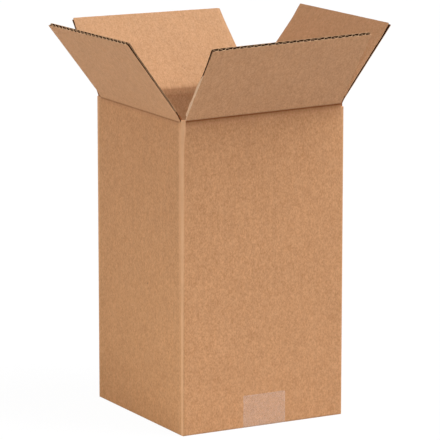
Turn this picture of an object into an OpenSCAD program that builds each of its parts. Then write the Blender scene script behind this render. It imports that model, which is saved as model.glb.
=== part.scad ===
// Open corrugated carton, one folded sheet with four hinged top flaps and taped bottom flaps.
// Millimetres, +Z up. Origin: middle of the underside, on the table.
// Front is -Y, left is -X. The flaps stand in their photographed pose.

/* [Box] */
// outside width, left wall to right wall
box_w = 185; // [150:1:230]
// outside depth, front wall to back wall
box_d = 185; // [150:1:230]
// height of the left and right creases above the table
box_h = 322; // [240:1:400]
// thickness of the corrugated board
board_t = 3.8; // [3:0.1:5]
// outside radius of the four upright folds
fold_r = 3.4; // [2:0.1:5]
// outside radius of the folds along the bottom edges
edge_r = 1.8; // [0.6:0.1:3]

/* [Flaps] */
// width of the slot cut between two neighbouring flaps
slot_w = 9.6; // [9:0.1:13]
// how far the slot runs down past the lower creases
slot_over = 1; // [0.5:0.1:3]
// gap between two opposite flaps when both are shut
meet_gap = 0.6; // [0.6:0.1:4]
// lean of the left flap outwards from upright, degrees
left_angle = 36.9; // [0:0.1:90]
// lean of the right flap outwards from upright, degrees
right_angle = 37.8; // [0:0.1:90]
// lean of the front flap outwards from upright, degrees
front_angle = 35; // [0:0.1:90]
// lean of the back flap outwards from upright, degrees
back_angle = 41; // [0:0.1:90]

/* [Creases] */
// board left at a crease once it is crushed
crush_t = 1.2; // [0.8:0.1:1.8]
// length over which the board swells back to full thickness
crush_l = 6; // [4:0.5:9]
// gap between a flap's root and its wall along the crease
root_gap = 0.25; // [0.2:0.05:0.4]
// gap between two flaps that lie one on the other
layer_gap = 0.2; // [0.2:0.05:0.5]

/* [Cut edges] */
// board left along a flap's side edge, where the slotting knives press it
pinch_t = 2.6; // [1.8:0.1:3.8]
// how far in from the side edge the board is pressed
pinch_l = 5; // [2:0.5:9]

/* [Flutes] */
// length of one wave of the fluted middle paper
flute_pitch = 8; // [6:0.1:9]
// thickness of the flat paper on either side
liner_t = 0.3; // [0.2:0.01:0.5]
// thickness of the fluted paper
flute_t = 0.26; // [0.2:0.01:0.5]

/* [Glued joint] */
// width of the tab glued inside the right wall
tab_w = 35; // [25:1:45]
// thickness of the pressed tab
tab_t = 3; // [2:0.1:4]
// how much shorter the tab gets at each end over its width
tab_taper = 9; // [4:1:16]
// open cut beside the joint, where the right wall's edge meets the fold
joint_cut = 0.9; // [0.6:0.1:2]
// clearance between the tab's ends and the flaps below and the slots above it
tab_gap = 4; // [2:0.5:10]

/* [Tape] */
// width of the tape strip
tape_w = 48; // [36:1:75]
// thickness of the tape
tape_t = 0.09; // [0.05:0.01:0.15]
// height the tape ends reach up the front and back walls
tape_up = 33.5; // [20:0.5:60]
// how far the strip sits to the right of the seam, less than nothing for the left
tape_shift = -1.2; // [-6:0.1:6]

/* [Hidden] */
$fn = 48;
kraft = [0.74, 0.56, 0.38];
clear_film = [0.8, 0.67, 0.55, 0.6];
// underside of the board: the tape lies between it and the table
base_z = tape_t;
// creases of the left and right flaps, which shut over the other two
outer_z = box_h;
// creases of the front and back flaps
inner_z = box_h - board_t - layer_gap;
slot_z = inner_z - slot_over;
inset = slot_w / 2;
reach_x = (box_w - meet_gap) / 2;
reach_y = (box_d - meet_gap) / 2;
span_x = box_w - slot_w;
span_y = box_d - slot_w;
strip_low = slot_z - crush_l;
// height of the flap's solid root, which closes the flutes at the crease
root_l = crush_l + crush_t;
// overlap by which parts of one solid run into each other, and that of the glued flutes
over = liner_t;
swell = flute_t / 8;
// what a cutter stands proud of the board it cuts
proud = board_t / 2;
// straight lengths in one wave of the fluted paper
steps = 12;

// rounded rectangle with true arcs
module round_rect(w, d, r) {
    square([w - 2 * r, d], center = true);
    square([w, d - 2 * r], center = true);
    for (x = [-1, 1])
        for (y = [-1, 1])
            translate([x * (w / 2 - r), y * (d / 2 - r)])
                circle(r = r);
}

// the four walls from above: rounded outside, square inside
module wall_ring() {
    difference() {
        round_rect(box_w, box_d, fold_r);
        square([box_w - 2 * board_t, box_d - 2 * board_t], center = true);
    }
}

// length of round bar's negative, for easing one bottom edge of the walls
module edge_ease(length) {
    rotate([90, 0, 90])
        linear_extrude(height = length, center = true)
            difference() {
                translate([-proud, -proud])
                    square([edge_r + proud, edge_r + proud]);
                translate([edge_r, edge_r])
                    circle(r = edge_r);
            }
}

// top of a wall under its flap, tapering to the crushed crease
module wall_top(length, crease_z) {
    rotate([90, 0, 90])
        linear_extrude(height = length, center = true)
            polygon([
                [0, strip_low - over],
                [board_t, strip_low - over],
                [board_t, crease_z - crush_l],
                [crush_t, crease_z - crush_t],
                [0, crease_z]
            ]);
}

// one bottom flap, square cut, folded in from its wall
module bottom_flap(span, reach, low) {
    translate([-span / 2, board_t - over, low])
        cube([span, reach - board_t + over, board_t]);
}

// the glued tab inside the right wall, narrower at its free edge
module glue_tab() {
    low = base_z + 2 * board_t + layer_gap + tab_gap;
    high = strip_low - tab_gap;
    translate([box_w / 2 - board_t - tab_t, 0, 0])
        rotate([90, 0, 90])
            linear_extrude(height = tab_t + over)
                polygon([
                    [box_d / 2 - board_t + over, low],
                    [box_d / 2 - board_t + over, high],
                    [box_d / 2 - board_t, high],
                    [box_d / 2 - board_t - tab_w, high - tab_taper],
                    [box_d / 2 - board_t - tab_w, low + tab_taper],
                    [box_d / 2 - board_t, low]
                ]);
}

// board thickness at x across a flap, thinner towards its two side edges
function thick(span, x) =
    board_t - (board_t - pinch_t) * max(0, 1 - (span / 2 - abs(x)) / pinch_l);

// points along the fluted paper's middle line, raised by lift
function wave_line(span, lift) = [
    for (i = [0 : round(span / flute_pitch * steps)])
        let (x = min(i * flute_pitch / steps, span) - span / 2)
        let (t = thick(span, x))
        let (wave = (t / 2 - liner_t - flute_t / 2 + swell) / cos(180 / steps))
            [x, t / 2 + wave * cos(360 * (i + 0.5) / steps) + lift]
];

function backwards(p) = [for (i = [len(p) - 1 : -1 : 0]) p[i]];

// one side of the board from edge to edge, high above the outer face in the middle
function inner_line(span, high) = [
    [-span / 2, high + pinch_t - board_t],
    [pinch_l - span / 2, high],
    [span / 2 - pinch_l, high],
    [span / 2, high + pinch_t - board_t]
];

// end view of the board: two flat papers and the fluted one between them
module board_section(span) {
    translate([-span / 2, 0])
        square([span, liner_t]);
    polygon(concat(inner_line(span, board_t - liner_t), backwards(inner_line(span, board_t))));
    polygon(concat(wave_line(span, -flute_t / 2), backwards(wave_line(span, flute_t / 2))));
}

// the solid root of a flap: crushed at the crease, full thickness at its top, pressed at its two sides
module flap_root(span) {
    intersection() {
        rotate([90, 0, 90])
            linear_extrude(height = span, center = true)
                polygon([
                    [0, root_gap],
                    [crush_t, crush_t + root_gap],
                    [board_t, crush_l],
                    [board_t, root_l],
                    [0, root_l]
                ]);
        linear_extrude(height = root_l)
            polygon(concat([[span / 2, 0], [-span / 2, 0]], inner_line(span, board_t)));
    }
}

// a top flap standing upright on its crease line, outer face at y = 0, inside at +y
module flap_board(span, reach) {
    translate([0, 0, crush_l])
        linear_extrude(height = reach - crush_l)
            board_section(span);
    flap_root(span);
}

// seats a flap on the wall that faces -Y once turned by turn
module seat_flap(turn, half, crease_z, lean, span, reach) {
    rotate([0, 0, turn])
        translate([0, -half, crease_z])
            rotate([lean, 0, 0])
                flap_board(span, reach);
}

module box_body() {
    color(kraft)
        difference() {
            union() {
                translate([0, 0, base_z])
                    linear_extrude(height = strip_low - base_z)
                        wall_ring();
                // the wall's full thickness reaches the slots only at the four upright folds
                translate([0, 0, strip_low - over])
                    linear_extrude(height = slot_z - strip_low + over)
                        difference() {
                            wall_ring();
                            square([span_x, box_d + proud], center = true);
                            square([box_w + proud, span_y], center = true);
                        }
                for (turn = [0, 180])
                    rotate([0, 0, turn])
                        translate([0, -box_d / 2, 0]) {
                            wall_top(span_x, inner_z);
                            bottom_flap(span_x, reach_y, base_z + board_t + layer_gap);
                        }
                for (turn = [-90, 90])
                    rotate([0, 0, turn])
                        translate([0, -box_w / 2, 0]) {
                            wall_top(span_y, outer_z);
                            bottom_flap(span_y, reach_x, base_z);
                        }
                glue_tab();
            }
            for (turn = [0, 180])
                rotate([0, 0, turn])
                    translate([0, -box_d / 2, base_z])
                        edge_ease(box_w + proud);
            for (turn = [-90, 90])
                rotate([0, 0, turn])
                    translate([0, -box_w / 2, base_z])
                        edge_ease(box_d + proud);
            translate([box_w / 2 - board_t, box_d / 2 - board_t - joint_cut, base_z - proud])
                cube([board_t + proud, joint_cut, box_h]);
        }
}

module flap_left() {
    color(kraft)
        seat_flap(-90, box_w / 2, outer_z, left_angle, span_y, reach_x);
}

module flap_right() {
    color(kraft)
        seat_flap(90, box_w / 2, outer_z, right_angle, span_y, reach_x);
}

module flap_front() {
    color(kraft)
        seat_flap(0, box_d / 2, inner_z, front_angle, span_x, reach_y);
}

module flap_back() {
    color(kraft)
        seat_flap(180, box_d / 2, inner_z, back_angle, span_x, reach_y);
}

// side view of what the tape is wrapped round, grown outwards
module tape_side(grow, high) {
    r = edge_r + grow;
    half = box_d / 2 + grow;
    low = base_z - grow;
    translate([-half, low + r])
        square([2 * half, high - low - r]);
    translate([-half + r, low])
        square([2 * (half - r), r + proud]);
    for (y = [-1, 1])
        translate([y * (half - r), low + r])
            circle(r = r);
}

module bottom_tape() {
    color(clear_film)
        translate([tape_shift, 0, 0])
            rotate([90, 0, 90])
                linear_extrude(height = tape_w, center = true)
                    difference() {
                        tape_side(tape_t, tape_up);
                        tape_side(0, tape_up + proud);
                    }
}

box_body();
flap_left();
flap_right();
flap_front();
flap_back();
bottom_tape();
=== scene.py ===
"""Open corrugated carton: looks, light and camera, on the frame packed from the part's source.

Sizes are written in millimetres and multiplied by MM where Blender wants metres. Only the lamps, the floor and the
camera's clipping are written in metres.
"""

import bpy
import math
import numpy as np
from mathutils import Matrix, Vector


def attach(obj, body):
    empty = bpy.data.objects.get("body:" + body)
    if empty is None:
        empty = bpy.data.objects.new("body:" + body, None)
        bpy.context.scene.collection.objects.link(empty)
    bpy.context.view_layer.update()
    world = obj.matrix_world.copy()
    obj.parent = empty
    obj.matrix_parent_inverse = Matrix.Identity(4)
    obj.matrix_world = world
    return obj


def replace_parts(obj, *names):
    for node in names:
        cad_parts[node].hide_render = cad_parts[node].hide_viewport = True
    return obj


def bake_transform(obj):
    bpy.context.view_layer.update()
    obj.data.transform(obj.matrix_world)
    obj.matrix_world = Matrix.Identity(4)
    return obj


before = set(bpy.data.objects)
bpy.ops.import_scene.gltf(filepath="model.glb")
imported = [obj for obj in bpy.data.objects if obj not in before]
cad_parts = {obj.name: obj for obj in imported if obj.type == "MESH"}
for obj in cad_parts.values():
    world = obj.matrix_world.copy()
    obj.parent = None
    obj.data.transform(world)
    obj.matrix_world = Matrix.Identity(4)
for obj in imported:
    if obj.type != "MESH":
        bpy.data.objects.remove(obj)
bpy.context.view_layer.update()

MM = 0.001

# The carton's sizes, as in the part's source
BOX_W, BOX_D, BOX_H = 185.0, 185.0, 322.0
BOARD, LAYER_GAP, SLOT_W, MEET_GAP = 3.8, 0.2, 9.6, 0.6
CRUSH_L, PINCH_T, PINCH_L = 6.0, 2.6, 5.0
PITCH = 8.0
TAPE_W, TAPE_T, TAPE_UP, EDGE_R = 48.0, 0.09, 33.5, 1.8
INNER_Z = BOX_H - BOARD - LAYER_GAP
SPAN = BOX_W - SLOT_W
REACH = (BOX_W - MEET_GAP) / 2
# how far the tape sits to the right of the seam: 2 mm more than in the source, as the photo shows it
TAPE_SHIFT = 0.8
# depth and width of the teeth of the blade that cut the tape
TOOTH_H, TOOTH_W = 0.35, 1.5
# each flap's body, turn about Z, crease height and lean outwards from upright
FLAPS = {
    "left": ("left_flap", -90, BOX_H, 36.9),
    "right": ("right_flap", 90, BOX_H, 37.8),
    "front": ("front_flap", 0, INNER_Z, 35.0),
    "back": ("back_flap", 180, INNER_Z, 41.0),
}
# What the photo shows of each flap beyond the source's regular one, each at its two ends along the crease, low
# end first: half span at the crease, half span at the tip, degrees less of lean, drop of the crease below the axis
FORM = {
    "left": ((81.2, 90.5), (83.8, 88.9), (-1.9, -1.4), (5.1, 7.0)),
    "right": ((86.6, 91.5), (89.4, 84.2), (0.7, 1.9), (2.6, 2.4)),
    "front": ((88.2, 87.6), (88.4, 92.3), (-2.7, 2.2), (2.0, -2.4)),
    "back": ((89.6, 90.0), (82.9, 89.8), (0.7, 0.6), (-1.0, 0.7)),
}
# share of a crease's drop by which the flap's plane starts lower too
LOW = 0.75
# thickness of each flap's flat papers and of its fluted one
PAPERS = {"left": (0.5, 0.75), "right": (0.46, 0.5), "front": (0.28, 0.46), "back": (0.46, 0.5)}
# thickness that a flap's side edge keeps beyond the pressed one, at its low end (-1) or its high end (1)
OPEN = {("left", 1): 0.15, ("right", -1): -0.3, ("front", -1): -0.5}
# length from the crease over which a flap's low end is torn shut
TORN = {"front": 60.0}
# how far a flap's side edges fray, and the share that is left of the ridges of buckled paper beside its crease
FRAY, RIDGE = {"front": 0.22}, {"left": 0.5}
PLAIN_FRAY = 0.10

# across a flap, from -1 to 1: close columns near its two side edges, even ones between
EDGE = np.array([0.0, 0.4, 1.0, 1.8, 2.8, 4.0, 5.2]) / (SPAN / 2)
ACROSS = np.concatenate([EDGE - 1, np.linspace(-0.925, 0.925, 105), 1 - EDGE[::-1]])
# up a flap, from 0 to 1: rows of the flat papers and of the fluted one, which has 14 columns to a wave
FLAT_ROWS = np.linspace(0, 1, 26)[:, None]
FLUTE_ROWS = np.array([0, 0.2, 0.4, 0.6, 0.8, 0.985, 1])[:, None]
FLUTE_COLUMNS = np.linspace(-0.986, 0.986, 22 * 14 + 5)[None, :]
# the side view of a crease below its valley: place above the valley, height of the ridge of buckled paper, and
# share of the way from the inner corner down to where the bar ends
WALL_SIDE = (
    (-6.0, 0.02, 1.0), (-4.2, 0.04, 0.78), (-2.6, 0.12, 0.58), (-1.5, 0.24, 0.4),
    (-0.7, 0.16, 0.22), (-0.25, 0.05, 0.08), (0.0, 0.02, 0.0),
)
# and above it: share of the way up to the flap's board, height of the ridge
FLAP_SIDE = ((0.05, 0.05), (0.13, 0.16), (0.26, 0.24), (0.45, 0.12), (0.7, 0.04), (1.0, 0.0))
# through a crease from its outer face to its inner one
THROUGH = np.array([0, 0.3, 0.62, 1.0])[None, :, None, None]


# ---------------------------------------------------------------- meshes


def smooth_noise(x, y, seed, waves, low, high):
    """A soft random field, about -1 to 1: the sum of some cosines whose wave numbers lie between low and high and
    whose directions and phases are random."""
    rng = np.random.default_rng(seed)
    total = np.zeros(np.broadcast(x, y).shape)
    for _ in range(waves):
        k, a, p = rng.uniform(low, high), rng.uniform(0, math.tau), rng.uniform(0, math.tau)
        total = total + np.cos(k * (np.cos(a) * x + np.sin(a) * y) + p)
    return total / waves ** 0.5 / 1.6


def ease(t):
    """Smoothstep of t, clipped to 0 to 1."""
    t = np.clip(t, 0, 1)
    return t * t * (3 - 2 * t)


def seat(p, flap):
    """A flap's points (along the crease, depth from the outer face, distance from the crease) in the box's frame."""
    _, turn, crease, lean = FLAPS[flap]
    a, t = math.radians(lean), math.radians(turn)
    x = p[..., 0]
    y = p[..., 1] * math.cos(a) - p[..., 2] * math.sin(a) - BOX_D / 2
    z = p[..., 1] * math.sin(a) + p[..., 2] * math.cos(a) + crease
    return np.stack([x * math.cos(t) - y * math.sin(t), x * math.sin(t) + y * math.cos(t), z], -1)


def upright(p, flap):
    """Points of the wall below a flap, given upright from the crease's axis, in the flap's leaning axes."""
    a = math.radians(FLAPS[flap][3])
    n, s = p[..., 1], p[..., 2]
    return np.stack([p[..., 0], n * math.cos(a) + s * math.sin(a), s * math.cos(a) - n * math.sin(a)], -1)


def pattern(p, flap):
    """The pattern's coordinates of flap or wall points: across the flutes, along them from the table up, and
    depth, so that the walls' own pattern runs on over the crease."""
    _, turn, crease, _ = FLAPS[flap]
    sign = 1 if turn in (0, 90) else -1
    side = -1 if turn in (0, -90) else 1
    return np.stack([sign * p[..., 0], crease + p[..., 2], side * (BOX_W / 2 - p[..., 1])], -1)


def block(grid, skin, *extra):
    """The closed surface of a block of points grid[i, j, k], where k, j and i run as the x, y and z of a right hand.

    skin gives the materials of the six sides: first and last i, first and last j, first and last k. A list holds
    one for each cell along j. Returns vertices, quads, materials and the extra per-point arrays, all without the
    inner points.
    """
    ni, nj, nk = grid.shape[:3]
    idx = np.arange(ni * nj * nk).reshape(ni, nj, nk)
    sides = (idx[0], idx[-1], idx[:, 0].T, idx[:, -1].T, idx[:, :, 0], idx[:, :, -1])
    faces, mats = [], []
    for n, (a, m) in enumerate(zip(sides, skin)):
        q = np.stack([a[:-1, :-1], a[1:, :-1], a[1:, 1:], a[:-1, 1:]], -1)
        m = np.array(m)
        m = m[:, None] if m.ndim and n < 2 else m
        mats.append(np.broadcast_to(m, q.shape[:2]).ravel())
        q = q.reshape(-1, 4)
        faces.append(q[:, ::-1] if n % 2 else q)
    used, f = np.unique(np.concatenate(faces), return_inverse=True)
    more = [e.reshape(ni * nj * nk, -1)[used] for e in extra]
    return grid.reshape(-1, 3)[used], f.reshape(-1, 4), np.concatenate(mats), *more


def new_object(name, data):
    """An object at the origin that holds data, linked to the scene."""
    ob = bpy.data.objects.new(name, data)
    bpy.context.scene.collection.objects.link(ob)
    return ob


def mesh_piece(name, verts, faces, materials, face_mat, board, score=None):
    """A mesh object at the origin from vertices and quads, smooth but for its sharp edges.

    board is the pattern's 3-vector and score the distance from the crease's valley, both per vertex.
    """
    me = bpy.data.meshes.new(name)
    v = np.asarray(verts, float).reshape(-1, 3) * MM
    f = np.asarray(faces, np.int32)
    me.vertices.add(len(v))
    me.vertices.foreach_set("co", v.ravel())
    me.loops.add(f.size)
    me.loops.foreach_set("vertex_index", f.ravel())
    me.polygons.add(len(f))
    me.polygons.foreach_set("loop_start", np.arange(0, f.size, 4, dtype=np.int32))
    me.polygons.foreach_set("use_smooth", np.ones(len(f), bool))
    for m in materials:
        me.materials.append(m)
    me.polygons.foreach_set("material_index", np.asarray(face_mat, np.int32))
    att = me.attributes.new("board", "FLOAT_VECTOR", "POINT")
    att.data.foreach_set("vector", (np.asarray(board).reshape(-1) * MM).astype(np.float32))
    if score is not None:
        att = me.attributes.new("score", "FLOAT", "POINT")
        att.data.foreach_set("value", (np.asarray(score).reshape(-1) * MM).astype(np.float32))
    me.update(calc_edges=True)
    me.validate()
    me.set_sharp_from_angle(angle=math.radians(35))
    return new_object(name, me)


# ---------------------------------------------------------------- materials


def rgb(code):
    """sRGB hex to linear colour with alpha 1."""
    c = [int(code[i:i + 2], 16) / 255 for i in (0, 2, 4)]
    return [x / 12.92 if x <= 0.04045 else ((x + 0.055) / 1.055) ** 2.4 for x in c] + [1.0]


class Tree:
    """The node tree of a new material or world, with one helper that adds a node and the sums built on it."""

    def __init__(self, owner):
        self.owner = owner
        owner.use_nodes = True
        self.nodes, self.links = owner.node_tree.nodes, owner.node_tree.links
        self.nodes.clear()

    def add(self, kind, inputs=None, out=0, **props):
        """Adds a node, sets its properties, sets or wires its inputs and returns its output number out."""
        n = self.nodes.new(kind)
        for k, v in props.items():
            setattr(n, k, v)
        for k, v in (inputs or {}).items():
            if isinstance(v, bpy.types.NodeSocket):
                self.links.new(v, n.inputs[k])
            else:
                n.inputs[k].default_value = v
        return n.outputs[out] if len(n.outputs) else None

    def math(self, op, *v, clamp=False):
        """The operation op on one to three numbers or sockets."""
        return self.add("ShaderNodeMath", dict(enumerate(v)), operation=op, use_clamp=clamp)

    def split(self, vector):
        """The three parts of a vector."""
        return self.add("ShaderNodeSeparateXYZ", {"Vector": vector}).node.outputs

    def ramp(self, v, lo, hi, a=0.0, b=1.0):
        """v from lo..hi to a..b, clipped, smoothly."""
        ends = {"Value": v, "From Min": lo, "From Max": hi, "To Min": a, "To Max": b}
        return self.add("ShaderNodeMapRange", ends, interpolation_type="SMOOTHSTEP")

    def noise(self, vector, size, detail, rough=0.5, lo=0.3, hi=0.7):
        """Noise with blobs of about size millimetres along each axis, spread to 0..1."""
        s = [1 / MM / x for x in (size if isinstance(size, tuple) else (size,) * 3)]
        v = self.add("ShaderNodeVectorMath", {0: vector, 1: s}, operation="MULTIPLY")
        f = self.add("ShaderNodeTexNoise", {"Vector": v, "Scale": 1.0, "Detail": detail, "Roughness": rough})
        return self.add("ShaderNodeMapRange", {"Value": f, "From Min": lo, "From Max": hi})

    def mix(self, fac, a, b):
        """From colour a to colour b as fac goes 0..1."""
        return self.add("ShaderNodeMix", {0: fac, 6: a, 7: b}, out=2, data_type="RGBA")

    def tinted(self, color, tint):
        """color times tint."""
        return self.add("ShaderNodeVectorMath", {0: color, 1: tint}, operation="MULTIPLY")

    def shade(self, color, by, amount):
        """color times 1 - amount .. 1 + amount as by goes 0..1."""
        g = self.add("ShaderNodeMapRange", {"Value": by, "To Min": 1 - amount, "To Max": 1 + amount})
        color = color if isinstance(color, bpy.types.NodeSocket) else color[:3]
        return self.add("ShaderNodeVectorMath", {0: color, 3: g}, operation="SCALE")

    def finish(self, shader):
        """Wires the shader to the output and returns the material or world."""
        kind = "World" if isinstance(self.owner, bpy.types.World) else "Material"
        self.add(f"ShaderNodeOutput{kind}", {"Surface": shader})
        return self.owner


# the liner's darkest and palest fibres, and the colours of its specks and of the painted highlight on rubbed folds;
# the brown of crushed creases, which also paints shade in creases, below the flaps and in the slots
KRAFT_LOW, KRAFT_HIGH = rgb("C28956"), rgb("EAB588")
PALE_FLECK_AND_HIGHLIGHT, KRAFT_DARK = rgb("F6C394"), rgb("8A5B38")
CRUSH_AND_SHADE = rgb("84481C")
# tints over the walls' outside: of the flaps' outer faces, which is painted cooler light from the floor's bounce; of
# the flaps' greyer inner liner; and of the walls' inside, the same greyer liner with painted shade
FLAP_COOL_LIGHT, INNER, INSIDE_TONE_AND_SHADE = (0.955, 0.99, 1.055), (0.97, 1.065, 1.19), (0.83, 0.9, 0.99)
# knife-cut paper, torn paper, and the fluted paper, painted as dark as the shade between the flat ones makes it
CUT, TORN_CUT, FLUTE_SHADE = rgb("D6AE86"), rgb("F2CFAA"), rgb("462C1A")
# the liner's noises: size of their blobs across the flutes, along them and in depth
CLOUD, PATCH, GRAIN = 45, (6, 8, 6), (1.3, 2.1, 1.35)
FIBRE, STREAK, WASHBOARD = (0.35, 1.1, 0.6), (2.2, 55, 40), 60
DARK_SPECK, PALE_SPECK = (0.9, 1.3, 1.1), (0.8, 1.8, 1.3)
# heights between which the wall below the front and back creases takes painted shadow of the flap above, and how
# much from and to
FLAP_SHADOW_SPAN = (300 * MM, 318.5 * MM, 0.0, 0.17)
# where the stain on the left wall is, and its radii where it ends and where it is full
STAIN, STAIN_R = (-92.5 * MM, -19.5 * MM, 142 * MM), (1.1 * MM, 0.5 * MM)
HALF = BOX_W / 2 * MM


def board_space(t, body):
    """The pattern's coordinates: across the flutes, along them, and depth, in metres.

    A new piece has them in its board attribute. The CAD body takes them from its own coordinates: its flutes
    stand upright, so across is x on the front and back walls and y on the side walls.
    """
    if not body:
        return t.add("ShaderNodeAttribute", attribute_name="board", out=1)
    spaces = {"vector_type": "NORMAL", "convert_from": "WORLD", "convert_to": "OBJECT"}
    normal = t.add("ShaderNodeNewGeometry", out=1)
    n = t.split(t.add("ShaderNodeVectorTransform", {"Vector": normal}, **spaces))
    x, y, z = t.split(t.add("ShaderNodeTexCoord", out=3))
    side = t.math("GREATER_THAN", t.math("ABSOLUTE", n[0]), t.math("ABSOLUTE", n[1]))
    across = t.add("ShaderNodeMix", {0: side, 2: x, 3: y})
    depth = t.add("ShaderNodeMix", {0: side, 2: y, 3: x})
    return t.add("ShaderNodeCombineXYZ", {0: across, 1: z, 2: depth})


def wall_wear(t, p, color):
    """The walls' marks: a greyer inside darkened with painted shade, deepest low in the box; painted shadow of the
    front and back flaps below their creases; upright folds rubbed paler, with a painted highlight that widens
    towards the top; painted shade at the feet of the slots; and one stain."""
    place = t.add("ShaderNodeTexCoord", out=3)
    x, y, z = t.split(place)
    ax, ay = t.math("ABSOLUTE", x), t.math("ABSOLUTE", y)
    inside = t.math("LESS_THAN", t.math("MAXIMUM", ax, ay), HALF - 2 * MM)
    # the inside: the inner liner's greyer tone, with painted shade that is deepest low in the box and lighter near
    # the top
    deep = t.math("MULTIPLY", inside, t.ramp(z, (INNER_Z - 12) * MM, INNER_Z * MM, 1, 0.4))
    color = t.mix(deep, color, t.tinted(color, INSIDE_TONE_AND_SHADE))
    side = t.math("GREATER_THAN", ax, ay)
    # painted shadow of the front and back flaps on the wall below their creases
    flap_shadow = t.math("MULTIPLY", t.ramp(z, *FLAP_SHADOW_SPAN), t.math("SUBTRACT", 1.0, side))
    color = t.mix(flap_shadow, color, CRUSH_AND_SHADE)
    # the rub of a fold, by the distance off from it: a firm band on both sides, worn paler and partly a painted
    # highlight, and a soft painted highlight on the side wall, strong on the left folds and weak on the right ones
    # as the light falls
    off = t.math("SUBTRACT", HALF, t.math("MINIMUM", ax, ay))
    worn = t.noise(p, (3, 16, 3), 2)
    lower, top = t.ramp(z, 20 * MM, 260 * MM, 2.2 * MM, 3.4 * MM), t.ramp(z, 285 * MM, 312 * MM, 0, 2.2 * MM)
    wide = t.add("ShaderNodeMix", {0: side, 2: t.math("ADD", lower, top), 3: 3.4 * MM})
    firm = t.ramp(off, wide, t.math("SUBTRACT", wide, 1.8 * MM))
    firm = t.math("MULTIPLY", firm, t.math("MULTIPLY_ADD", worn, 0.3, 0.75))
    soft = t.math("MULTIPLY", t.ramp(z, 50 * MM, 300 * MM, 0.15, 0.75), side)
    soft = t.math("MULTIPLY", t.ramp(off, 8.5 * MM, 3 * MM), soft)
    rub_and_highlight = t.math("MULTIPLY", t.math("MAXIMUM", firm, soft), t.ramp(x, 20 * MM, 80 * MM, 1, 0.3))
    color = t.mix(t.math("SUBTRACT", rub_and_highlight, t.math("MULTIPLY", rub_and_highlight, inside)), color, PALE_FLECK_AND_HIGHLIGHT)
    # painted shade in the feet of the slots, from just below the height of the front and back creases upwards
    slot_shade = t.ramp(z, (INNER_Z - 0.9) * MM, (INNER_Z - 0.5) * MM, 0, 0.8)
    color = t.mix(slot_shade, color, CRUSH_AND_SHADE)
    away = t.add("ShaderNodeVectorMath", {0: place, 1: STAIN}, out=1, operation="DISTANCE")
    return t.mix(t.ramp(away, *STAIN_R, 0, 0.8), color, KRAFT_DARK)


def crease_wear(t, p, score, color, depth):
    """A brown valley, crushed paper with painted shade, as strong as depth, in a wider band of painted shade. A
    shallow crease is on the left wall, and its end at the front fold carries the fold's painted highlight; a deep
    one paints the flap's shadow on the wall below it."""
    across, height, _ = t.split(p)
    wob = t.noise(p, (9, 12, 9), 2)
    band = t.math("MINIMUM", t.ramp(score, -6.2 * MM, -0.4 * MM), t.ramp(score, 2.6 * MM, 0.4 * MM))
    line = t.ramp(t.math("ABSOLUTE", score), 1.5 * MM, 0.3 * MM)
    if depth > 0.7:
        # painted shadow of the flap on the wall below a deep crease
        below = t.math("LESS_THAN", score, 0.0)
        color = t.mix(t.math("MULTIPLY", t.ramp(height, *FLAP_SHADOW_SPAN), below), color, CRUSH_AND_SHADE)
    else:
        # painted highlight of the front fold carried on over the shallow crease's end, where its valley fades
        near = t.ramp(across, 9 * MM - HALF, 2 * MM - HALF)
        near = t.math("MULTIPLY", near, t.math("LESS_THAN", score, 0.5 * MM))
        color = t.mix(t.math("MULTIPLY", near, 0.6), color, PALE_FLECK_AND_HIGHLIGHT)
        left = t.math("MULTIPLY_ADD", near, -0.7, 1.0)
        band, line = t.math("MULTIPLY", band, left), t.math("MULTIPLY", line, left)
    # the band and the valley: brown of crushed paper with painted shade
    color = t.mix(t.math("MULTIPLY", band, 0.6 * depth - 0.14), color, CRUSH_AND_SHADE)
    strength = t.math("MULTIPLY_ADD", wob, 0.2 * depth, 0.75 * depth)
    return t.mix(t.math("MULTIPLY", line, strength), color, CRUSH_AND_SHADE)


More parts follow.
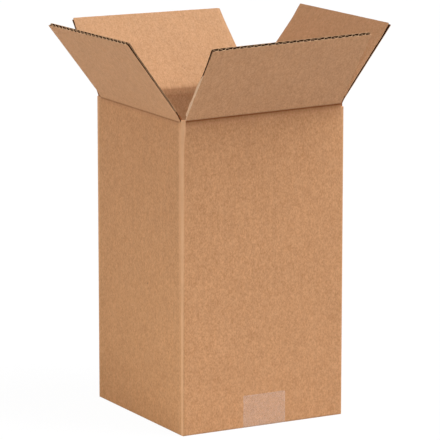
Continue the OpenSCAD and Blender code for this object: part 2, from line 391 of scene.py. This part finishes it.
def kraft(name, body=False, tint=None, below=None, crease=0.0, calm=1.0):
    """Unbleached kraft liner over C flute.

    What the real board gives to the eye: grain of wood fibre a millimetre or two across, cloudy mottle, a faint
    washboard at the flute pitch, bumped and also painted as faint stripes of shade, streaks along the flutes, sparse
    dark and pale specks, and a dry matt face. The inner liner is a little greyer than the outer one.

    body says that it is for the CAD walls. tint is the colour over that of the walls' outside, which turns to the
    tint below on the wall's side of a crease; the flaps' outer tint is painted cooler light and the inside's tint
    holds painted shade. crease is the depth of the valley's brown of crushed paper and painted shade, calm the share
    of grain.
    """
    t = Tree(bpy.data.materials.new(name))
    p = board_space(t, body)
    patch, grain = t.noise(p, PATCH, 2), t.noise(p, GRAIN, 2, 0.6, 0.25, 0.75)
    fibre, streak = t.noise(p, FIBRE, 3, 0.6), t.noise(p, STREAK, 2)
    wave = t.math("COSINE", t.math("MULTIPLY", t.split(p)[0], math.tau / (PITCH * MM)))
    wave = t.math("MULTIPLY", wave, t.noise(p, WASHBOARD, 1, lo=0.2, hi=0.8))
    mottle = 0.5
    for part, share in ((grain, 0.82), (fibre, 0.22), (patch, 0.07), (streak, 0.05)):
        share *= calm
        mottle = t.math("ADD", mottle, t.math("MULTIPLY_ADD", part, share, -share / 2))
    color = t.mix(mottle, KRAFT_LOW, KRAFT_HIGH)
    # the washboard ripple, painted as faint stripes of shade as well as bumped
    washboard = t.math("MULTIPLY_ADD", wave, 0.5, 0.5)
    for part, amount in ((t.noise(p, CLOUD, 2), 0.022), (patch, 0.022), (washboard, 0.014)):
        color = t.shade(color, part, amount)
    dark, pale = t.noise(p, DARK_SPECK, 1, lo=0.74, hi=0.78), t.noise(p, PALE_SPECK, 1, lo=0.27, hi=0.2)
    color = t.mix(t.math("MULTIPLY", dark, 0.9, clamp=True), color, KRAFT_DARK)
    color = t.mix(t.math("MULTIPLY", pale, 0.5, clamp=True), color, PALE_FLECK_AND_HIGHLIGHT)
    if below:
        score = t.add("ShaderNodeAttribute", attribute_name="score", out=2)
        # a crease bar turns colour at its valley outside, and all the way up its inner side: from the tint below,
        # which on the inside holds painted shade, to the flap's, which outside is painted cooler light
        start = -0.5 if crease else -CRUSH_L
        tint = t.mix(t.ramp(score, start * MM, 1.5 * MM), (*below, 1), (*tint, 1))
    if tint:
        color = t.tinted(color, tint)
    if body:
        color = wall_wear(t, p, color)
    if crease:
        color = crease_wear(t, p, score, color, crease)
    height = t.math("MULTIPLY_ADD", wave, 0.5, t.math("MULTIPLY", grain, 0.5))
    height = t.math("ADD", height, t.math("MULTIPLY", fibre, 0.45))
    bump = t.add("ShaderNodeBump", {"Strength": 0.25, "Distance": 0.06 * MM, "Height": height})
    rough = t.add("ShaderNodeMapRange", {"Value": patch, "To Min": 0.78, "To Max": 0.9})
    face = {"Base Color": color, "Roughness": rough, "Specular IOR Level": 0.25, "Normal": bump}
    return t.finish(t.add("ShaderNodeBsdfPrincipled", face))


def cut_board(name, base, amount, gloss=0.15, glow=0.0):
    """The torn fibre of a knife-cut paper edge: paler than the face, with short nicks across it. Inside the flutes a
    painted glow stands in for the light that comes brown through the thin liners."""
    t = Tree(bpy.data.materials.new(name))
    p = board_space(t, False)
    nick = t.noise(p, (0.5, 0.6, 0.4), 3, 0.7)
    color = t.shade(t.shade(base, nick, amount), t.noise(p, 6, 2), 0.05)
    bump = t.add("ShaderNodeBump", {"Strength": 0.5, "Distance": 0.1 * MM, "Height": nick})
    face = {"Base Color": color, "Roughness": 0.92, "Specular IOR Level": gloss, "Normal": bump}
    face.update({"Emission Color": base, "Emission Strength": glow})
    return t.finish(t.add("ShaderNodeBsdfPrincipled", face))


def tape_film(name):
    """Clear packing film on kraft: the board shows through, paler, with a white haze where the glue has not wetted
    the paper, milky cut edges and the sheen of smooth plastic. It casts no shadow on the board that it lies on."""
    t = Tree(bpy.data.materials.new(name))
    p = t.add("ShaderNodeAttribute", attribute_name="board", out=1)
    across, _, from_end = t.split(p)
    haze = t.noise(p, (5, 9, 5), 3, 0.6)
    side = t.ramp(t.math("ABSOLUTE", across), (TAPE_W / 2 - 2.5) * MM, (TAPE_W / 2 - 0.2) * MM)
    edge = t.math("MAXIMUM", side, t.ramp(from_end, 2.2 * MM, 0.6 * MM))
    milk = t.math("MULTIPLY_ADD", haze, 0.03, t.math("MULTIPLY_ADD", edge, 0.04, 0.03))
    lit = t.math("SUBTRACT", 1.0, t.add("ShaderNodeLightPath").node.outputs["Is Shadow Ray"])
    bump = t.add("ShaderNodeBump", {"Strength": 0.3, "Distance": 0.1 * MM, "Height": haze})
    white = t.add("ShaderNodeBsdfDiffuse", {"Color": rgb("F6F1EE"), "Normal": bump})
    clear = t.add("ShaderNodeBsdfTransparent", {"Color": rgb("FFFFFF")})
    gloss = t.add("ShaderNodeBsdfGlossy", {"Color": rgb("FFFFFF"), "Roughness": 0.32, "Normal": bump})
    milky = t.add("ShaderNodeMixShader", {0: t.math("MULTIPLY", milk, lit), 1: clear, 2: white})
    return t.finish(t.add("ShaderNodeMixShader", {0: t.math("MULTIPLY", lit, 0.04), 1: milky, 2: gloss}))


NO_TINT = (1, 1, 1)
kraft_walls = kraft("kraft_walls", body=True)
kraft_board = kraft("kraft_board", tint=FLAP_COOL_LIGHT, calm=0.8)
kraft_inner = kraft("kraft_inner", tint=INNER, calm=0.8)
kraft_turn = kraft("kraft_turn", tint=INNER, below=INSIDE_TONE_AND_SHADE, calm=0.8)
kraft_score = kraft("kraft_score", tint=FLAP_COOL_LIGHT, below=NO_TINT, crease=0.9, calm=0.8)
kraft_soft = kraft("kraft_soft", tint=FLAP_COOL_LIGHT, below=NO_TINT, crease=0.52, calm=0.8)
cut_paper = cut_board("cut_paper", CUT, 0.12)
torn_paper = cut_board("torn_paper", TORN_CUT, 0.12)
# the flutes: painted shade as their colour and a faint painted glow
flute_shade_glow = cut_board("flute_shade_glow", FLUTE_SHADE, 0.10, 0.0, 0.15)
film = tape_film("tape_film")


# ---------------------------------------------------------------- the flaps' board


def spread(flap, k, which):
    """A pair of FORM's end values, run along the crease as k goes from -1 to 1."""
    low, high = FORM[flap][which]
    return low + (high - low) * (k + 1) / 2


def along(flap, k, s):
    """Place along the crease of k from -1 to 1, between the flap's two side edges, at s from the crease."""
    root, tip = FORM[flap][0], FORM[flap][1]
    e = s / REACH
    a = -(root[0] + (tip[0] - root[0]) * e)
    b = root[1] + (tip[1] - root[1]) * e
    return a + (b - a) * (k + 1) / 2


def swing(flap, k, s):
    """How far the photographed flap lies inside its regular plane: its twist, and a crease off the axis."""
    lean, e = math.radians(FLAPS[flap][3]), s / REACH
    drop = spread(flap, k, 3)
    root = -drop * math.sin(lean) * np.where(drop > 0, LOW, 1)
    return root * (1 - e) + s * np.tan(np.radians(spread(flap, k, 2)))


def pressed(flap, k, s, seed):
    """Board lost at the side edges, where the slotting knives have pressed it: unevenly along the edge, more near
    the crease and hardly at the tip's corners."""
    u = along(flap, k, s)
    off = np.minimum(u - along(flap, -1.0, s), along(flap, 1.0, s) - u)
    uneven = 0.35 * smooth_noise(s / 9, np.sign(k) * 5 + s * 0, seed + 21, 6, 0.5, 2.0)
    more = np.select([k > 0, k < 0], [OPEN.get((flap, 1), 0), OPEN.get((flap, -1), 0)], 0)
    near_crease = 0.8 * (1 - ease(s / 25))
    off_tip = 1 - 0.8 * ease((s / REACH - 0.8) * 5)
    lost = (BOARD - PINCH_T + uneven - more) * off_tip + near_crease
    return lost * (1 - ease(off / PINCH_L))


def build_flap(flap, seed):
    """One open flap: two flat papers and the fluted one between them, each a closed thin sheet.

    The flat papers run from the crushed root to the tip and ripple by a few hundredths over the flutes. The fluted
    paper is a cosine of the pitch across the flap, as thick across its slopes as at its crests, with crests a
    little narrower on the inner side. The cut edges wander by a tenth or two of a millimetre and the tip's corners
    are blunted. A slow bow of a third of a millimetre grows from the crease. A torn side edge is closed by a ragged
    plug.
    """
    sign = 1 if FLAPS[flap][1] in (0, 90) else -1
    liner, flute = PAPERS[flap]
    length = REACH - CRUSH_L
    parts, count = [], 0

    def layer(k, s, low, high, skin):
        """Adds the sheet between the depths low and high, bowed and twisted with the flap."""
        nonlocal count
        k, s, low, high = np.broadcast_arrays(k, s, low, high)
        bow = 0.3 * smooth_noise(k * 1.5, s / 60, seed, 5, 0.5, 1.4) * ease(s / REACH * 1.6)
        move = swing(flap, k, s) + bow
        u = along(flap, k, s)
        flat = [np.stack([u, n, s], -1) for n in (low, high)]
        grid = np.stack([seat(q + np.stack([u * 0, move, u * 0], -1), flap) for q in flat], 1)
        v, f, m, b = block(grid, skin, np.stack([pattern(q, flap) for q in flat], 1))
        parts.append((v, f + count, m, b))
        count += len(v)

    rough = FRAY.get(flap, PLAIN_FRAY)
    for inner in (False, True):
        k = ACROSS[None, :]
        fray = smooth_noise(FLAT_ROWS * 40, np.sign(k) * 3 + FLAT_ROWS * 0, seed + 3 + inner, 8, 0.6, 2.5)
        k = k * (1 + rough * fray / (SPAN / 2) * np.abs(k) ** 30)
        tip = 0.09 * smooth_noise(k * 40, k * 0, seed + 7 + inner, 8, 0.6, 2.5)
        blunt = 0.3 * np.clip(1 - (1 - np.abs(k)) * SPAN / 2 / 1.2, 0, 1) ** 2
        s = CRUSH_L + length * FLAT_ROWS + (tip - blunt) * FLAT_ROWS ** 24
        ripple = 0.035 * np.cos(math.tau * along(flap, k, s) * sign / PITCH)
        if inner:
            top = BOARD - pressed(flap, k, s, seed) + ripple
            layer(k, s, top - liner, top, (3, 1, 2, 3, 3, 3))
        else:
            layer(k, s, -ripple, liner + 0 * ripple, (0, 1, 0, 2, 0, 0))

    k = FLUTE_COLUMNS
    s = CRUSH_L + (length - 0.1) * FLUTE_ROWS
    t = BOARD - pressed(flap, k, s, seed)
    amp = t / 2 - liner - flute / 2 + 0.03
    angle = math.tau * along(flap, k, s) * sign / PITCH
    half = flute / 2 * np.sqrt(1 + (amp * math.tau / PITCH * np.sin(angle)) ** 2)
    wave = np.cos(angle)
    mid = t / 2 + amp * (wave + 0.25 * (wave ** 2 - 1))
    layer(k, s, mid - half, mid + half, (2, 1, 2, 2, 1, 1))

    if flap in TORN:
        s = np.linspace(CRUSH_L - 1, TORN[flap], 24)[:, None]
        rag = 0.8 + 0.5 * smooth_noise(s / 3, s * 0, seed + 41, 8, 0.6, 2.5)
        k = np.concatenate([-1 - rag / (SPAN / 2), rag * 0 - 0.99], 1)
        top = 2.3 * (1 - ease((s / TORN[flap] - 0.75) * 4)) + 0.3
        layer(k, s, 0.1, top, (4,) * 6)
    v, f, m, b = (np.concatenate(x) for x in zip(*parts))
    skins = [kraft_board, cut_paper, flute_shade_glow, kraft_inner, torn_paper]
    ob = mesh_piece(f"board_{flap}", v, f, skins, m, b)
    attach(ob, FLAPS[flap][0])
    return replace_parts(ob, f"flap_{flap}")


def build_crease(flap, seed):
    """The crushed fold between a wall and its flap: one bar whose side view is swept along the crease.

    Outside, two low ridges of buckled paper stand either side of the valley, and above it the paper follows a
    quadratic Bezier from the valley to the flap's plane. Inside, the paper is drawn tight over the corner, where
    the board is crushed most near the bar's two ends. The bar is bent about the crease's axis to the flap's lean.
    """
    k = ACROSS
    drop = spread(flap, k, 3)
    u = along(flap, k, 0.0)
    thin = pressed(flap, k, 0.0, seed)
    # how far the buckled paper strays from its ridges, the board lost at the inner corner, and the corner's height
    jit = 0.05 * smooth_noise(k * 25, k * 0, seed, 7, 0.5, 2.2)
    crush = np.minimum(0.3 + 2 * (1 - ease((1 - np.abs(k)) * SPAN / 2 / 24)), 3.2 - thin)
    corner = 0.6 - LOW * drop
    outer, inner, pat_out, pat_in, score = [], [], [], [], []

    # the bar's faces stand a few hundredths of a millimetre proud of the wall and the flap that it joins
    for ds, ridge, share in WALL_SIDE:
        bulge = ridge * RIDGE.get(flap, 1) + jit * math.exp(ds / 3)
        q = np.stack([u, -np.maximum(bulge, 0.03), ds - drop], -1)
        outer.append(upright(q, flap))
        pat_out.append(pattern(q, flap))
        depth = BOARD + 0.04 - (thin + crush) * (1 - share)
        q = np.stack([u, depth, -(CRUSH_L + drop) * share + corner * (1 - share)], -1)
        inner.append(upright(q, flap))
        pat_in.append(pattern(q, flap))
        score.append(np.full(len(k), ds))
    valley = outer[-1]
    end_s = CRUSH_L + 0.02
    ctrl_s = np.maximum(1.5, valley[:, 2] + 1.5)
    ctrl = np.stack([u, swing(flap, k, ctrl_s), ctrl_s], -1)
    last = np.stack([along(flap, k, CRUSH_L), swing(flap, k, CRUSH_L), np.full(len(k), end_s)], -1)
    for t, ridge in FLAP_SIDE:
        q = (1 - t) ** 2 * valley + 2 * t * (1 - t) * ctrl + t * t * last
        score.append(np.linalg.norm(q - valley, axis=-1))
        q = q - np.stack([u * 0, ridge + jit * math.exp(-6 * t), u * 0], -1)
        outer.append(q)
        pat_out.append(pattern(q, flap))
        s = corner + (end_s - corner) * t
        depth = BOARD + 0.03 - thin - crush * (1 - t)
        q = np.stack([along(flap, k, s), depth + swing(flap, k, s), s], -1)
        inner.append(q)
        pat_in.append(pattern(q, flap))

    def through(out, into):
        """Points of the outer and inner side, and those between them."""
        return np.stack(out)[:, None] * (1 - THROUGH) + np.stack(into)[:, None] * THROUGH

    grid, board = through(outer, inner), through(pat_out, pat_in)
    score = np.broadcast_to(np.stack(score)[:, None, :], grid.shape[:3])
    # the bar's ends in the slots take the flutes' painted shade
    skin = (1, 1, 0, 1, 2 if flap in TORN else [0, 3, 3], [0, 3, 3])
    v, f, m, b, c = block(grid, skin, board, score)
    worn = kraft_soft if flap == "left" else kraft_score
    ob = mesh_piece(f"crease_{flap}", seat(v, flap), f, [worn, kraft_turn, torn_paper, flute_shade_glow], m, b, c)
    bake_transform(ob)
    return ob


def build_tape():
    """The tape: a strip wrapped round the bottom edges, its two ends cut by a serrated blade.

    The strip follows a path of flats and quarter arcs from one end to the other; across it is flat. Each end's
    edge zigzags by a third of a millimetre.
    """
    r, half, low = EDGE_R, BOX_D / 2, TAPE_T
    up = np.linspace(TAPE_UP, low + r, 16)
    turn = np.linspace(0, math.pi / 2, 8)
    bend = [(half - r + r * c, low + r - r * s, c, -s) for c, s in zip(np.cos(turn), np.sin(turn))]
    side = [(half, z, 1.0, 0.0) for z in up[:-1]] + bend
    under = [(y, low, 0.0, -1.0) for y in np.linspace(-half + r, half - r, 24)[1:-1]]
    path = np.array([(-y, z, -ny, nz) for y, z, ny, nz in side] + under + side[::-1])
    step = np.concatenate([[0], np.cumsum(np.hypot(*np.diff(path[:, :2], axis=0).T))])
    across = np.linspace(-TAPE_W / 2, TAPE_W / 2, 97)
    zig = TOOTH_H * (np.abs((across / TOOTH_W) % 1 - 0.5) * 2)
    x = np.broadcast_to(across[None, :] + TAPE_SHIFT, (len(path), len(across)))
    y = np.broadcast_to(path[:, 0:1], x.shape)
    z = np.broadcast_to(path[:, 1:2], x.shape).copy()
    z[0] -= zig
    z[-1] -= zig[::-1]
    faces = [np.stack([x, y + path[:, 2:3] * h, z + path[:, 3:4] * h], -1) for h in (0.02, TAPE_T)]
    from_end = np.minimum(step, step[-1] - step)
    uvw = np.stack(np.broadcast_arrays(across[None, :], step[:, None], from_end[:, None]), -1)
    v, f, m, b = block(np.stack(faces, 1), (0,) * 6, np.stack([uvw, uvw], 1))
    ob = mesh_piece("tape_strip", v, f, [film], m, b)
    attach(ob, "box")
    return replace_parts(ob, "bottom_tape")


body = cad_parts["box_body"]
body.data.materials.clear()
body.data.materials.append(kraft_walls)
for i, name in enumerate(FLAPS):
    build_flap(name, 11 + 17 * i)
    build_crease(name, 5 + 13 * i)
build_tape()


# ---------------------------------------------------------------- stage, light and camera


def seen_directly(t):
    """1 for rays from the camera, off a mirror or through glass, 0 for rays that gather light."""
    ray = t.add("ShaderNodeLightPath").node.outputs
    bent = t.math("MAXIMUM", ray["Is Glossy Ray"], ray["Is Transmission Ray"])
    return t.math("MAXIMUM", ray["Is Camera Ray"], bent)


def build_stage():
    """A white floor that looks white to the camera and keeps the box's soft shadow."""
    me = bpy.data.meshes.new("floor")
    r = 6.0
    me.from_pydata([(-r, -r, 0), (r, -r, 0), (r, r, 0), (-r, r, 0)], [], [(0, 1, 2, 3)])
    ob = new_object("floor", me)
    t = Tree(bpy.data.materials.new("floor_white"))
    matt = t.add("ShaderNodeBsdfDiffuse", {"Color": (0.64, 0.665, 0.70, 1)})
    glow = t.add("ShaderNodeEmission", {"Color": (1, 1, 1, 1), "Strength": 1.04})
    share = t.math("MULTIPLY", seen_directly(t), 0.93)
    me.materials.append(t.finish(t.add("ShaderNodeMixShader", {0: share, 1: matt, 2: glow})))


def build_world(level, tint):
    """Even white surroundings: white to the camera, at level and tint for the light they give."""
    t = Tree(bpy.data.worlds.new("surroundings"))
    light = t.add("ShaderNodeBackground", {"Color": (*tint, 1), "Strength": level})
    white = t.add("ShaderNodeBackground", {"Color": (1, 1, 1, 1), "Strength": 1.0})
    shader = t.add("ShaderNodeMixShader", {0: seen_directly(t), 1: light, 2: white})
    bpy.context.scene.world = t.finish(shader)


def lamp(name, kind, place, aim, energy, color, **shape):
    """A lamp at place that shines at aim, in metres. shape sets a sun's angle or an area's size."""
    data = bpy.data.lights.new(name, kind)
    data.energy, data.color = energy, color
    for key, value in shape.items():
        setattr(data, key, value)
    ob = new_object(name, data)
    ob.location = place
    ob.rotation_euler = (Vector(place) - Vector(aim)).to_track_quat("Z", "Y").to_euler()


def sun(name, toward, strength, angle, color):
    """A distant lamp that shines from the direction toward, as wide as angle in degrees."""
    place = Vector(toward).normalized() * 3
    lamp(name, "SUN", place, (0, 0, 0), strength, color, angle=math.radians(angle))


def area(name, place, aim, wide, high, power, color):
    """A soft box of light at place, turned to aim, in metres and watts."""
    lamp(name, "AREA", place, aim, power, color, shape="RECTANGLE", size=wide, size_y=high)


def build_camera():
    """The photograph's camera, from a fit to the box's edges: focal length in pixels of the 440 that the picture is
    wide, then turn, dip and roll in degrees, the aim's offset in pixels and the distance in millimetres."""
    pixels, sensor = 440, 36.0
    focal, yaw, pitch, roll, off_x, off_y, dist = 3100.0, 28.905, 10.975, -0.016, -0.963, 32.317, 3164.24
    y, p, q = (math.radians(a) for a in (yaw, pitch, roll))
    ahead = Vector((math.sin(y) * math.cos(p), math.cos(y) * math.cos(p), -math.sin(p)))
    level = Vector((math.cos(y), -math.sin(y), 0))
    under = ahead.cross(level)
    right = math.cos(q) * level + math.sin(q) * under
    down = -math.sin(q) * level + math.cos(q) * under
    place = Vector((0, 0, BOX_H / 2)) - ahead * dist - (right * off_x + down * off_y) * dist / focal
    m = Matrix((right, -down, -ahead)).transposed().to_4x4()
    m.translation = place * MM
    cam = bpy.data.cameras.new("camera")
    cam.sensor_width, cam.lens = sensor, focal / pixels * sensor
    cam.clip_start, cam.clip_end = 0.1, 50
    ob = new_object("camera", cam)
    ob.matrix_world = m
    bpy.context.scene.camera = ob


build_stage()
build_world(0.378, (1.1, 0.97, 0.95))
sun("key", (0.65, -0.45, 0.85), 0.49, 35, (0.99, 1.03, 0.98))
sun("high", (0.45, -0.35, 1), 1.9, 35, (0.98, 1, 1.02))
sun("side", (-1, 0, 0.25), 0.15, 35, (1.05, 1.02, 0.8))
area("low", (-0.36, -0.05, 0.035), (-0.0925, -0.02, 0.06), 0.4, 0.06, 0.165, (1.02, 1.07, 0.91))
build_camera()
bpy.context.scene.view_settings.view_transform = "Standard"
